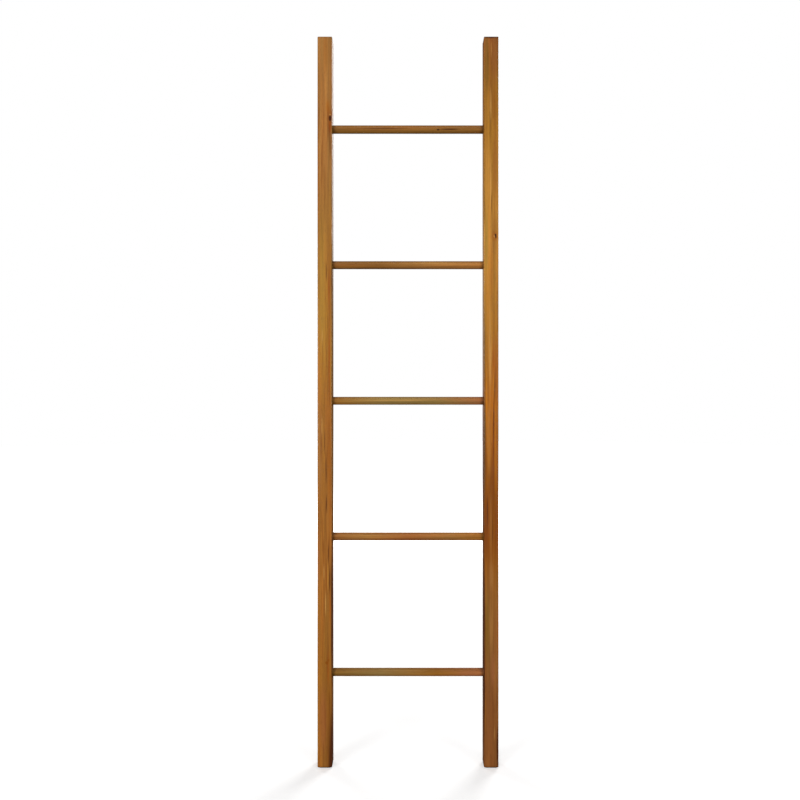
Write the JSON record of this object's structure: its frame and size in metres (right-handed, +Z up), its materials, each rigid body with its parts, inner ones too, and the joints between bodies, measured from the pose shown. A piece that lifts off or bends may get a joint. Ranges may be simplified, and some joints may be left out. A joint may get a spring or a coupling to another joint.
{
  "type": "towel rack",
  "caption": "Wooden towel ladder that leans on a wall: plain square rails joined by evenly spaced round rungs.",
  "frame": {"origin": "on the floor, in the middle of the ladder's footprint, wall pads included", "axes": "+X across the ladder to its right as seen from the front, +Y from the front to the wall, +Z up along the rails"},
  "size_m": [0.453, 0.0396, 1.83],
  "materials": {
    "teak_rail": "oiled, satin",
    "teak_rung": "oiled, satin",
    "teak_plug": "oiled, satin",
    "screw_steel": "plain",
    "pad_rubber": "matt"
  },
  "bodies": {
    "root": {"left_rail": "teak_rail", "right_rail": "teak_rail", "rung_1": "teak_rung", "rung_2": "teak_rung", "rung_3": "teak_rung", "rung_4": "teak_rung", "rung_5": "teak_rung", "left_plug_1": "teak_plug", "left_plug_2": "teak_plug", "left_plug_3": "teak_plug", "left_plug_4": "teak_plug", "left_plug_5": "teak_plug", "left_rung_screws": "screw_steel", "left_foot_pad": "pad_rubber", "left_wall_pad": "pad_rubber", "right_plug_1": "teak_plug", "right_plug_2": "teak_plug", "right_plug_3": "teak_plug", "right_plug_4": "teak_plug", "right_plug_5": "teak_plug", "right_rung_screws": "screw_steel", "right_foot_pad": "pad_rubber", "right_wall_pad": "pad_rubber"}
  },
  "joints": []
}
